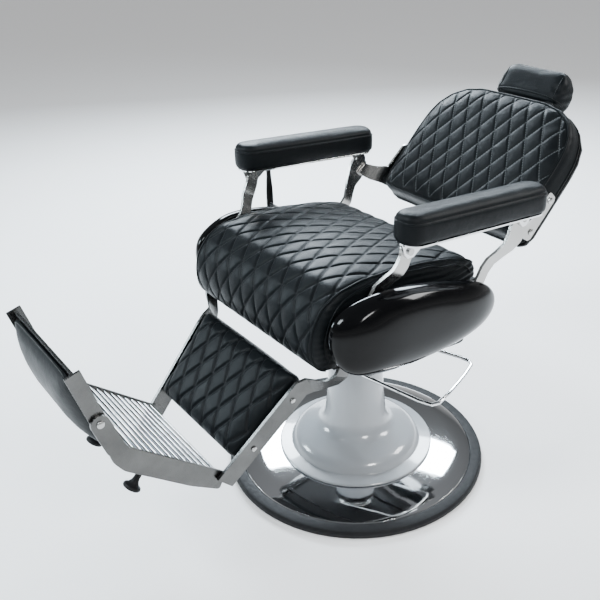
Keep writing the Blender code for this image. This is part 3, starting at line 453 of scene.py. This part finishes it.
def even(points, step, closed=True):
    """The same line with points at an even spacing."""
    line = np.array(points, float)
    if closed:
        line = np.vstack([line, line[:1]])
    gaps = np.linalg.norm(np.diff(line, axis=0), axis=1)
    run = np.concatenate([[0.0], np.cumsum(gaps)])
    count = max(8, int(run[-1] / step))
    spots = np.linspace(0.0, run[-1], count, endpoint=not closed)
    return np.stack([np.interp(spots, run, line[:, k]) for k in range(3)], axis=1)


def eased(line, times, closed=True):
    for _ in range(times):
        before = np.roll(line, 1, axis=0)
        after = np.roll(line, -1, axis=0)
        moved = 0.25 * before + 0.5 * line + 0.25 * after
        if not closed:
            moved[0], moved[-1] = line[0], line[-1]
        line = moved
    return line


def piping(name, pad, points, radius, lift, skin, closed=True, ease=6):
    """A welt sewn to the pad's surface under the given line, standing out by lift."""
    surface = nearest(pad)
    line = eased(even(points, 0.005, closed), ease, closed)
    spots = []
    for point in line:
        spot, normal, _, _ = surface.find_nearest(Vector(point))
        spots.append(tuple(spot + normal * lift))
    welt = cord_along(name, eased(np.array(spots), 2, closed), radius, skin, closed)
    return welt


# ---------------------------------------------------------------- soft pads


def inflate(obj, held, cap):
    """Blows the closed mesh up as cloth, with some points held and the rest kept within cap."""
    rest = points_of(obj)
    group = obj.vertex_groups.new(name="held")
    group.add([int(index) for index in np.flatnonzero(held)], 1.0, "REPLACE")
    cloth = obj.modifiers.new("stuffing", "CLOTH")
    settings = cloth.settings
    settings.quality = 5
    settings.mass = 0.3
    settings.tension_stiffness = 20.0
    settings.compression_stiffness = 20.0
    settings.shear_stiffness = 10.0
    settings.bending_stiffness = 1.0
    settings.use_pressure = True
    settings.uniform_pressure_force = STUFFING_PRESSURE
    settings.effector_weights.gravity = 0.0
    settings.vertex_group_mass = "held"
    for step in range(1, STUFFING_STEPS + 1):
        bpy.context.scene.frame_set(step)
    graph = bpy.context.evaluated_depsgraph_get()
    moved = np.zeros(rest.size)
    obj.evaluated_get(graph).data.vertices.foreach_get("co", moved)
    obj.modifiers.remove(cloth)
    bpy.context.scene.frame_set(1)
    change = moved.reshape(-1, 3) - rest
    length = np.linalg.norm(change, axis=1, keepdims=True)
    change *= np.minimum(1.0, cap / np.maximum(length, 1e-9))
    set_points(obj, rest + change)


def pad(node, name, skin, held, voxel, inset, cap, fill=0.85):
    """A stuffed pad from the node's solid: remeshed, drawn in, blown up and smoothed."""
    obj = clean_copy(node, name, skin)
    remesh = obj.modifiers.new("even_mesh", "REMESH")
    remesh.mode = "VOXEL"
    remesh.voxel_size = voxel
    bake(obj)
    points, normals = points_of(obj), normals_of(obj)
    fixed = held(points)
    set_points(obj, points - normals * inset * (~fixed)[:, None])
    inflate(obj, fixed, cap)
    relax = obj.modifiers.new("relax", "SMOOTH")
    relax.factor = 0.5
    relax.iterations = 8
    fine = obj.modifiers.new("fine", "SUBSURF")
    fine.levels = 2
    fine.render_levels = 2
    bake(obj)
    place(obj, node)
    return obj


def ramp(values, start, end):
    """0 at start and 1 at end, smooth between."""
    t = np.clip((values - start) / (end - start), 0.0, 1.0)
    return t * t * (3.0 - 2.0 * t)


def dent(obj, height):
    """Moves each point along its normal by its own height."""
    set_points(obj, points_of(obj) + normals_of(obj) * height[:, None])


def quilt(obj, across, along, cell, crossing, mask, depth, puff, width):
    """Sews diamonds into the pad: a channel along each seam and a low crown between seams."""
    wide, high = cell
    turned = (across - crossing[0]) / wide
    raised = (along - crossing[1]) / high
    first, second = turned + raised, turned - raised
    pitch = 1.0 / math.hypot(1.0 / wide, 1.0 / high)
    away = np.minimum(np.abs(first - np.round(first)), np.abs(second - np.round(second))) * pitch
    channel = np.exp(-((away / width) ** 2))
    crown = np.sqrt(np.abs(np.sin(math.pi * first) * np.sin(math.pi * second)))
    height = (puff * crown - depth * channel) * mask
    dent(obj, height)
    layer = obj.data.attributes.new("quilt", "FLOAT_VECTOR", "POINT")
    seams = np.stack([first, second, mask], axis=1)
    layer.data.foreach_set("vector", seams.astype(np.float32).ravel())


def ring_about(points, middle, axes):
    """Points sorted by their angle about the middle, in the plane of two axes."""
    turn = np.arctan2(points[:, axes[1]] - middle[1], points[:, axes[0]] - middle[0])
    return points[np.argsort(turn)]


def polyline_run(points, line):
    """How far along a (y, z) polyline the nearest point of it lies, for each point."""
    starts, steps = line[:-1], np.diff(line, axis=0)
    lengths = np.linalg.norm(steps, axis=1)
    run = np.concatenate([[0.0], np.cumsum(lengths)])
    best = np.full(len(points), 1e9)
    found = np.zeros(len(points))
    for k in range(len(steps)):
        offset = points - starts[k]
        t = np.clip(offset @ steps[k] / lengths[k] ** 2, 0.0, 1.0)
        gap = np.linalg.norm(offset - t[:, None] * steps[k], axis=1)
        closer = gap < best
        best[closer] = gap[closer]
        found[closer] = run[k] + t[closer] * lengths[k]
    return found


def node_points(node):
    return np.unique(np.round([vertex.co for vertex in NODES[node].data.vertices], 6), axis=0)


def build_seat():
    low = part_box("seat_pan")[1].z + 0.004

    def held(points):
        rest = SEAT_REST_HEIGHT - SEAT_REST_FALL * (points[:, 1] - SEAT_REST_Y)
        return (points[:, 2] < rest) & (np.abs(points[:, 0]) < SEAT_HELD_HALF)

    obj = pad(
        "seat_cushion", "seat_quilted", LEATHER, held, voxel=0.0090, inset=0.003, cap=0.004
    )
    # The sewn top and front follow the cushion's outline from its rear edge to its front foot.
    outline = np.array(
        [
            (0.168, 0.626), (0.130, 0.644), (0.050, 0.664), (-0.060, 0.680), (-0.160, 0.686),
            (-0.240, 0.676), (-0.285, 0.655), (-0.312, 0.620), (-0.323, 0.580), (-0.322, 0.540),
            (-0.308, 0.508), (-0.280, 0.490),
        ]
    )
    points, normals = points_of(obj), normals_of(obj)
    across = points[:, 0]
    along = polyline_run(points[:, 1:], outline)
    top = ramp(np.abs(across), 0.236, 0.226) * ramp(np.abs(normals[:, 0]), 0.55, 0.30)
    ends = ramp(along, 0.004, 0.020) * ramp(along, 0.640, 0.600)
    mask = top * ends
    quilt(
        obj, across, along, SEAT_CELL, SEAT_CROSSING, mask, depth=0.0026, puff=0.0026, width=0.0028
    )
    # Pleats gathered into the side bands, deepest at the rear corners.
    points, normals = points_of(obj), normals_of(obj)
    side = ramp(np.abs(normals[:, 0]), 0.55, 0.85)
    rear = ramp(points[:, 1], -0.20, 0.14)
    fold = np.sin(points[:, 2] * 430.0 + 3.0 * np.sin(points[:, 1] * 21.0)) * side * (0.3 + rear)
    dent(obj, 0.0009 * fold)
    rim = node_points("seat_cushion")
    rim = rim[np.abs(rim[:, 0] - SEAT_RIM_X) < 0.0004]
    rim = ring_about(rim, SEAT_MIDDLE, (1, 2))
    rim = rim[rim[:, 2] > low - 0.03]
    for hand, side_x in HANDS:
        for label, x, radius, shrink in SEAT_WELTS:
            line = rim.copy()
            line[:, 0] = x * side_x
            if shrink < 1.0:
                line[:, 1:] = SEAT_MIDDLE + (line[:, 1:] - SEAT_MIDDLE) * shrink
            keep = (line[:, 1] < 0.170) & ((line[:, 2] > 0.560) | (line[:, 1] < -0.27))
            line = line[keep]
            order = np.argsort(-polyline_run(line[:, 1:], outline))
            welt = piping(
                f"seat_welt_{label}_{hand}", obj, line[order], radius, 0.0004, LEATHER, False, 8
            )
            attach(welt, "seat")


def back_parts(points):
    """Across, up the face and out of its front, for each point."""
    sine, cosine = math.sin(BACK_LEAN), math.cos(BACK_LEAN)
    y, z = points[:, 1] - BACK_FOOT[0], points[:, 2] - BACK_FOOT[1]
    return points[:, 0], y * sine + z * cosine, z * sine - y * cosine


def back_spot(across, along, out):
    sine, cosine = math.sin(BACK_LEAN), math.cos(BACK_LEAN)
    return (
        across,
        BACK_FOOT[0] + along * sine - out * cosine,
        BACK_FOOT[1] + along * cosine + out * sine,
    )


def build_back():
    def held(points):
        return back_parts(points)[2] < -0.060

    obj = pad(
        "back_cushion", "back_quilted", BACK_LEATHER, held, voxel=0.0085, inset=0.002, cap=0.004
    )
    points, normals = points_of(obj), normals_of(obj)
    across, along, _ = back_parts(points)
    facing = normals @ np.array([0.0, -math.cos(BACK_LEAN), math.sin(BACK_LEAN)])
    mask = ramp(facing, 0.86, 0.95)
    quilt(
        obj, across, along, BACK_CELL, BACK_CROSSING, mask, depth=0.0022, puff=0.0018, width=0.0026
    )
    rim = node_points("back_cushion")
    out = back_parts(rim)[2]
    rim = rim[np.abs(out + 0.010) < 0.0006]
    middle = np.array(back_spot(0.0, 0.155, -0.010))
    across, along, _ = back_parts(rim)
    rim = rim[np.argsort(np.arctan2(along - 0.155, across))]
    for label, shrink, out_by in (("front", 0.965, 0.012), ("rear", 1.0, -0.045)):
        line = middle + (rim - middle) * shrink
        shift = np.array(back_spot(0.0, 0.0, out_by)) - np.array(back_spot(0.0, 0.0, 0.0))
        welt = piping(f"back_welt_{label}", obj, line + shift, 0.0026, 0.0004, LEATHER)
        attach(welt, "back")


def build_headrest():
    def held(points):
        return back_parts(points)[1] < 0.3555

    obj = pad(
        "headrest_cushion", "headrest_pad", LEATHER, held, voxel=0.0055, inset=0.001, cap=0.0025
    )
    points = points_of(obj)
    crease = 0.0006 * np.sin(points[:, 2] * 300.0 + points[:, 0] * 90.0)
    dent(obj, crease * ramp(np.abs(points[:, 0]), 0.06, 0.10))
    rim = []
    for turn in np.linspace(0.0, 2.0 * math.pi, 60, endpoint=False):
        rim.append(back_spot(0.112 * math.cos(turn), 0.3600, -0.069 + 0.05 * math.sin(turn)))
    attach(piping("headrest_welt", obj, rim, 0.0024, 0.0003, LEATHER), "headrest")
    for hand, side in HANDS:
        rim = []
        for turn in np.linspace(0.0, 2.0 * math.pi, 50, endpoint=False):
            along, out = 0.398 + 0.06 * math.sin(turn), -0.067 + 0.05 * math.cos(turn)
            rim.append(back_spot(0.094 * side, along, out))
        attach(piping(f"headrest_seam_{hand}", obj, rim, 0.0015, 0.0001, LEATHER), "headrest")


def build_arm_pads():
    for hand, _ in HANDS:
        node = f"arm_pad_{hand}"
        low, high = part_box(node)

        def above(points):
            return (points[:, 2] - low.z) - (high.y - points[:, 1]) * ARM_FALL

        def held(points):
            return above(points) < 0.004

        obj = pad(
            node, f"{node}_leather", LEATHER, held, voxel=0.0055, inset=0.0005, cap=0.002, fill=0.9
        )
        points = points_of(obj)
        level = above(points)
        groove = np.exp(-(((level - ARM_SEAM_LEVEL) / ARM_SEAM_HALF_WIDTH) ** 2))
        outward = np.abs(normals_of(obj)[:, 2]) < 0.75
        dent(obj, -0.0016 * groove * outward)
        middle = (low + high) / 2
        half_x, half_y = (high.x - low.x) / 2 + 0.02, (high.y - low.y) / 2 + 0.02
        rim = []
        for turn in np.linspace(0.0, 2.0 * math.pi, 160, endpoint=False):
            x = middle.x + half_x * np.sign(math.cos(turn)) * abs(math.cos(turn)) ** 0.5
            y = middle.y + half_y * np.sign(math.sin(turn)) * abs(math.sin(turn)) ** 0.25
            rim.append((x, y, low.z + (high.y - y) * ARM_FALL + 0.0545))
        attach(piping(f"{node}_welt", obj, rim, 0.0013, 0.0002, LEATHER), "armrests")


def leg_parts(points):
    """Across, down the leg arms and out of the calf pad, for each point."""
    down = np.array(LEG_FOOT) - np.array(LEG_TOP)
    down = down / np.linalg.norm(down)
    out = np.array([down[1], -down[0]])
    offset = points[:, 1:] - np.array(LEG_TOP)
    return points[:, 0], offset @ down, offset @ out, np.array([0.0, *out])


def build_calf_pad():
    def held(points):
        return leg_parts(points)[2] < -0.004

    obj = pad(
        "calf_cushion", "calf_quilted", LEATHER, held, voxel=0.0070, inset=0.001, cap=0.003
    )
    points, normals = points_of(obj), normals_of(obj)
    across, down, _, front = leg_parts(points)
    mask = ramp(normals @ front, 0.45, 0.80)
    quilt(
        obj, across, down, CALF_CELL, CALF_CROSSING, mask, depth=0.0034, puff=0.0014, width=0.0036
    )


def build_flip_cushion():
    run = np.array([-math.cos(FLIP_TURN), math.sin(FLIP_TURN)])
    normal = np.array([-run[1], run[0]])

    def out_of(points):
        return (points[:, 1:] - np.array(FLIP_AXIS)) @ normal

    def held(points):
        return out_of(points) < 0.0045

    obj = pad(
        "flip_cushion", "flip_leather", SMOOTH_LEATHER, held,
        voxel=0.0060, inset=0.001, cap=0.003, fill=0.8,
    )
    rim = []
    for turn in np.linspace(0.0, 2.0 * math.pi, 120, endpoint=False):
        x = 0.150 * np.sign(math.cos(turn)) * abs(math.cos(turn)) ** 0.3
        up = 0.020 + 0.096 * np.sign(math.sin(turn)) * abs(math.sin(turn)) ** 0.3
        y, z = np.array(FLIP_AXIS) + run * up + normal * 0.008
        rim.append((x, y, z))
    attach(piping("flip_welt", obj, rim, 0.0018, 0.0002, LEATHER), "flip_pad")


# ---------------------------------------------------------------- side pods

# The pod's rim as (x, y, z), and how far each layer stands out and draws in from it.
POD_RIM = [
    (0.2620, -0.2940, 0.6000), (0.2620, -0.2830, 0.6300), (0.2640, -0.2500, 0.6520),
    (0.2800, -0.1980, 0.6690), (0.2840, -0.1300, 0.6690), (0.2840, -0.0450, 0.6540),
    (0.2840, 0.0350, 0.6320), (0.2840, 0.1050, 0.6100), (0.2830, 0.1550, 0.5870),
    (0.2830, 0.1820, 0.5520), (0.2830, 0.1780, 0.5180), (0.2840, 0.1450, 0.4900),
    (0.2840, 0.0700, 0.4730), (0.2840, -0.0150, 0.4700), (0.2840, -0.1150, 0.4720),
    (0.2850, -0.2050, 0.4860), (0.2850, -0.2570, 0.5030), (0.2720, -0.2820, 0.5330),
    (0.2620, -0.2930, 0.5660),
]
POD_OUTER = 0.3380
POD_MIDDLE = Vector((-0.075, 0.573))
POD_LAYERS = (
    (0.0, 1.0), (0.15, 1.012), (0.38, 0.985), (0.62, 0.890), (0.84, 0.74), (0.97, 0.52),
    (1.01, 0.26),
)
POD_RIDGE_LAYER = 3
POD_RIDGE_FROM, POD_RIDGE_TO = 1, 8
POD_RIDGE_SHARPNESS = 0.55


def pod_ring(shape, side, depth, scale, lift=0.0):
    """One ring of the pod's cage: this far out from the rim, and drawn in by the scale."""
    ring = []
    for x, y, z in POD_RIM:
        spot = POD_MIDDLE + (Vector((y, z)) - POD_MIDDLE) * scale
        out = x + (POD_OUTER - x) * depth + lift
        ring.append(shape.verts.new((out * side, spot.x, spot.y)))
    return ring


def build_pods():
    for hand, side in HANDS:
        shape = bmesh.new()
        crease = shape.edges.layers.float.new("crease_edge")
        rings = [pod_ring(shape, side, depth, scale) for depth, scale in POD_LAYERS]
        inner = pod_ring(shape, side, 0.0, 0.955, 0.0015)
        deep = pod_ring(shape, side, 0.5, 0.90)
        walls = [deep, inner] + rings
        for low, high in zip(walls, walls[1:]):
            for k in range(len(low)):
                after = (k + 1) % len(low)
                shape.faces.new((low[k], low[after], high[after], high[k]))
        shape.faces.new(rings[-1])
        shape.faces.new(deep[::-1])
        for k in range(POD_RIDGE_FROM, POD_RIDGE_TO):
            edge = shape.edges.get((rings[POD_RIDGE_LAYER][k], rings[POD_RIDGE_LAYER][k + 1]))
            edge[crease] = POD_RIDGE_SHARPNESS
        obj = from_shape(f"pod_shell_{hand}", shape, GLOSS)
        fine = obj.modifiers.new("fine", "SUBSURF")
        fine.levels = 3
        fine.render_levels = 3
        bake(obj)
        place(obj, f"side_pod_{hand}")


# ---------------------------------------------------------------- rigid parts


def build_rigid():
    refine("rubber_ring", RUBBER, 0.0015, 3)
    refine("base_cover", CHROME, 0.0008)
    refine("bell_column", ENAMEL, 0.0012, 3)
    refine("base_casting", IRON)
    refine("pump_cylinder", STEEL)
    refine("pump_head", PAINT, 0.0012, 3)
    refine("pump_ram", CHROME)
    refine("swivel_hub", STEEL)
    refine("under_frame", PAINT, 0.0015)
    refine("pump_lever", CHROME, 0.0010)
    refine("seat_pan", LINING, 0.0015)
    refine("back_board", LINING, 0.0030, 3)
    refine("calf_board", LINING, 0.0015)
    refine("headrest_guide", PAINT)
    refine("headrest_bar", CHROME)
    refine("recline_lever", PAINT, 0.0012, 3)
    refine("footplate", TREAD, 0.0012, 3)
    refine("flip_frame", SATIN, 0.0010)
    for hand, _ in HANDS:
        refine(f"side_frame_{hand}", PAINT, 0.0012)
        refine(f"front_post_{hand}", CAST, 0.0016, 3)
        refine(f"rear_post_{hand}", CAST, 0.0016, 3)
        refine(f"back_bracket_{hand}", CAST, 0.0010, 3)
        refine(f"leg_arm_{hand}", SATIN, 0.0012, 3)
        refine(f"foot_side_{hand}", SATIN, 0.0012, 3)
        refine(f"foot_knuckle_{hand}", SATIN, 0.0012, 3)
        refine(f"rubber_foot_{hand}", RUBBER, 0.0010, 2)
        plate = refine(f"arm_plate_{hand}", CHROME, 0.0008)
        round_ends(plate, f"arm_plate_{hand}", 0.033)
        refine(f"tie_bar_{hand}", STEEL, 0.0006)
        for bolt in ("arm_bolt", "back_bolt_upper", "back_bolt_lower", "flip_bolt"):
            refine(f"{bolt}_{hand}", STEEL, 0.0005)
        for number in (1, 2):
            refine(f"leg_screw_{hand}_{number}", STEEL, 0.0004)


# ---------------------------------------------------------------- floor, light and camera

CAMERA_PLACE = Vector((1.3765, -1.1362, 1.4249))
CAMERA_AZIMUTH = math.radians(53.15)
CAMERA_HEIGHT = math.radians(28.06)
CAMERA_ROLL = math.radians(-1.137)
CAMERA_LENS = 47.66
CAMERA_SHIFT = (-0.038, 0.002)


def build_camera():
    sine, cosine = math.sin(CAMERA_AZIMUTH), math.cos(CAMERA_AZIMUTH)
    rise, level = math.sin(CAMERA_HEIGHT), math.cos(CAMERA_HEIGHT)
    back = Vector((sine * level, -cosine * level, rise))
    right = Vector((cosine, sine, 0.0))
    up = back.cross(right)
    across = right * math.cos(CAMERA_ROLL) + up * math.sin(CAMERA_ROLL)
    over = back.cross(across)
    data = bpy.data.cameras.new("camera")
    data.lens = CAMERA_LENS
    data.sensor_width = 36.0
    data.shift_x, data.shift_y = CAMERA_SHIFT
    camera = bpy.data.objects.new("camera", data)
    bpy.context.scene.collection.objects.link(camera)
    turn = Matrix((across, over, back)).transposed().to_4x4()
    camera.matrix_world = Matrix.Translation(CAMERA_PLACE) @ turn
    bpy.context.scene.camera = camera


WHITE = (1.0, 1.0, 1.0)
DAYLIGHT = (0.80, 0.91, 1.0)
LIGHT_TARGET = Vector((0.0, -0.1, 0.55))
# Name, place, size, power in watts and colour.
LIGHTS = (
    ("key", (-0.2, -2.3, 3.0), (0.9, 0.9), 110.0, (0.86, 0.95, 1.0)),
    ("window", (-2.6, 1.3, 2.3), (1.5, 1.0), 250.0, DAYLIGHT),
    ("window_2", (-1.5, 2.7, 2.7), (1.1, 0.8), 130.0, DAYLIGHT),
    ("fill", (2.9, -0.4, 2.6), (0.7, 0.7), 60.0, WHITE),
    ("front", (-2.4, -2.2, 1.6), (0.8, 0.8), 65.0, (0.78, 0.92, 1.0)),
    ("rear", (1.6, 2.6, 2.6), (1.2, 0.8), 80.0, WHITE),
)


def area_light(name, spot, size, power, colour):
    data = bpy.data.lights.new(name, "AREA")
    data.shape = "RECTANGLE"
    data.size, data.size_y = size
    data.energy = power
    data.color = colour
    light = bpy.data.objects.new(name, data)
    light.location = spot
    light.rotation_mode = "QUATERNION"
    light.rotation_quaternion = (Vector(spot) - LIGHT_TARGET).to_track_quat("Z", "Y")
    bpy.context.scene.collection.objects.link(light)


def build_studio():
    shader = Shader("pale_floor")
    shader.colour(shader.mixed(shader.noise(0.8, 2.0), (0.86, 0.86, 0.865), (0.89, 0.89, 0.89)))
    shader.rough(shader.spread(shader.noise(3.0), 0.55, 0.62))
    shader.set(Emission_Color=(1.0, 1.0, 1.0, 1.0), Emission_Strength=0.34, Specular_IOR_Level=0.2)
    shape = bmesh.new()
    bmesh.ops.create_grid(shape, x_segments=8, y_segments=8, size=30.0)
    floor = from_shape("floor", shape, shader.made)
    floor.location.z = -0.0005
    world = bpy.data.worlds.new("studio")
    world.use_nodes = True
    tree = world.node_tree
    coord = tree.nodes.new("ShaderNodeTexCoord")
    split = tree.nodes.new("ShaderNodeSeparateXYZ")
    tones = tree.nodes.new("ShaderNodeValToRGB")
    ramp_stops = tones.color_ramp.elements
    ramp_stops[0].position = 0.0
    ramp_stops[0].color = (0.72, 0.73, 0.74, 1.0)
    ramp_stops[1].position = 1.0
    ramp_stops[1].color = (0.26, 0.27, 0.285, 1.0)
    band = ramp_stops.new(0.32)
    band.color = (0.12, 0.125, 0.13, 1.0)
    tree.links.new(coord.outputs["Generated"], split.inputs["Vector"])
    tree.links.new(split.outputs["Z"], tones.inputs["Fac"])
    tree.links.new(tones.outputs["Color"], tree.nodes["Background"].inputs["Color"])
    tree.nodes["Background"].inputs["Strength"].default_value = 1.0
    bpy.context.scene.world = world
    for light in LIGHTS:
        area_light(*light)


build_camera()
build_seat()
build_back()
build_headrest()
build_arm_pads()
build_calf_pad()
build_flip_cushion()
build_pods()
build_rigid()
build_studio()
